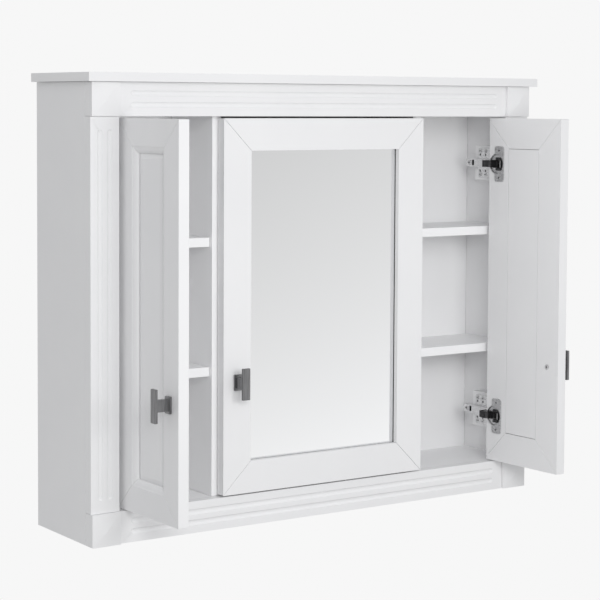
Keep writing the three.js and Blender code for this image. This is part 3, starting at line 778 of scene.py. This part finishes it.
def add_mounting_plate(arm, top):
    """The plate on the carcass: two columns of holes, each with a dark disc of painted shade, and a screw
    beyond each.
    """
    front, rear = PLATE_Y
    outline = rounded(rectangle(rear - front, 2 * PLATE_HALF, ((front + rear) / 2, 0)), WEB_ROUND)
    columns = (front + PLATE_HOLE_FROM_END[0], rear - PLATE_HOLE_FROM_END[1])
    centres = [(y, z) for y in columns for z in (-PLATE_HOLE_Z, PLATE_HOLE_Z)]
    holes = [circle(PLATE_HOLE_RADIUS, centre, SMALL_STEPS) for centre in centres]
    arm.add(plate([outline, *holes], top - PLATE_THICKNESS, top, arris=0.4), FACING_SIDE)
    for centre in centres:
        # A dark disc in the hole is painted shade.
        hole_shade = circle(PLATE_HOLE_RADIUS + HOLE_SHADE_MARGIN, centre, SMALL_STEPS)
        deep, shallow = HOLE_SHADE_DEPTHS
        arm.add(plate([hole_shade], top - deep, top - shallow, arris=0.1), FACING_SIDE, material=DARK)
    for y in (front + PLATE_SCREW_FROM_END[0], rear - PLATE_SCREW_FROM_END[1]):
        for z in (-PLATE_SCREW_Z, PLATE_SCREW_Z):
            arm.screw(FACING_INSIDE, (top - PLATE_THICKNESS, y, z), PLATE_SCREW_RADIUS, head=1.2)


def hinge_arm(seat):
    """The arm on its mounting plate, with the cranked link. Seat is the hinge axis to the mounting face."""
    arm = Hardware()
    top = seat - SEAT_GAP
    foot = top - WALL - ARM_HEIGHT
    add_links(arm, foot)
    add_channel(arm, foot, top)
    add_mounting_plate(arm, top)
    return arm


# ---- Placing on the doors and the carcass ----
def door_axes(door):
    """The placing of a door's own axes, in millimetres about its hinge, as it stands at rest."""
    side = DOORS[door]
    joint = JOINTS[f"{door}_hinge"]
    closed = joint["range_deg"][0 if side > 0 else 1]
    return (
        Matrix.Translation(joint["pos_m"])
        @ Matrix.Rotation(math.radians(-closed), 4, "Z")
        @ Matrix.Scale(MM, 4)
        @ Matrix.Diagonal((side, 1, 1, 1))
    )


def carcass_axes(door):
    """The same, for what stays on the carcass."""
    return (
        Matrix.Translation(JOINTS[f"{door}_hinge"]["pos_m"])
        @ Matrix.Scale(MM, 4)
        @ Matrix.Diagonal((DOORS[door], 1, 1, 1))
    )


def middle_height(node):
    low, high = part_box(node)
    return (low.z + high.z) / 2


def add_hinges(door):
    side = DOORS[door]
    axis_x = JOINTS[f"{door}_hinge"]["pos_m"][0]
    for level in ("lower", "upper"):
        cup_node = f"{door}_hinge_cup_{level}"
        arm_node = f"{door}_hinge_arm_{level}"
        lift = Matrix.Translation((0, 0, middle_height(cup_node)))
        cup = hinge_cup().make(f"{door}_cup_{level}", lift @ door_axes(door), door)
        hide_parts(cup_node)
        low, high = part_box(arm_node)
        seat = max(side * (low.x - axis_x), side * (high.x - axis_x)) / MM + SEAT_GAP
        arm = hinge_arm(seat).make(f"{door}_arm_{level}", lift @ carcass_axes(door), "carcass")
        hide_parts(arm_node)


WASHER_RADIUS = 4.6
WASHER_TOP = 0.6
HANDLE_SCREW_RADIUS = 3.1


def add_handle_screw(door):
    """The handle's screw and its washer, on the inner face of the door."""
    inside = door_axes(door).inverted()
    corners = [inside @ vertex.co for vertex in NODES[f"{door}_handle"].data.vertices]
    centre_x = (min(c.x for c in corners) + max(c.x for c in corners)) / 2
    washer = [(0, 0), (WASHER_RADIUS, 0), (WASHER_RADIUS, 0.4)]
    washer += [(WASHER_RADIUS - 0.4, WASHER_TOP), (0, WASHER_TOP)]
    screw = Hardware()
    screw.add(lathe(washer), FACING_REAR, (centre_x, DOOR_REAR, 0))
    screw.screw(FACING_REAR, (centre_x, DOOR_REAR + 0.5, 0), HANDLE_SCREW_RADIUS, head=1.5)
    lift = Matrix.Translation((0, 0, middle_height(f"{door}_handle")))
    screw.make(f"{door}_handle_screw", lift @ door_axes(door), door)


# ---- Mirror, seen by its silvering, on black foam tape behind the frame's lip; the tape's edge inside the lip is a painted shade line ----
FOAM = 1.2
LIP = 8.0  # width of glass behind the frame
SHADE_LINE_INSET = 0.8  # how far the tape's dark edge shows inside the frame's opening, a painted shade line
FOAM_MARGIN = 1.0  # foam's outer edge to the glass's edge


def add_mirror():
    low, high = (corner_point / MM for corner_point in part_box("mirror_glass"))
    width, height = high.x - low.x, high.z - low.z
    middle = ((low.x + high.x) / 2, (low.z + high.z) / 2)
    glass = rectangle(width, height, middle)
    mirror = Hardware()
    mirror.add(plate([glass], low.y + FOAM, high.y, arris=0.35), FACING_REAR)
    outer = rectangle(width - 2 * FOAM_MARGIN, height - 2 * FOAM_MARGIN, middle)
    border = 2 * (LIP - SHADE_LINE_INSET)
    opening = rectangle(width - border, height - border, middle)
    # The tape shows as a dark line inside the frame's lip: painted shade in the rebate.
    shade_line_tape = plate([outer, opening], low.y, low.y + FOAM, arris=0.05)
    mirror.add(shade_line_tape, FACING_REAR, material=DARK)
    pane = mirror.make("mirror_pane", Matrix.Scale(MM, 4), "mirror_door", "silvered_glass", FOAM_TAPE_AND_SHADE_LINE)
    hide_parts("mirror_glass")


make_camera()
make_floor()
make_world()
make_light("key", **KEY_LAMP)
make_light("fill", **FILL_LAMP)
finish_cad_nodes()
add_mirror()
for door_name in DOORS:
    add_hinges(door_name)
    add_handle_screw(door_name)

bpy.context.scene.view_settings.view_transform = "Standard"
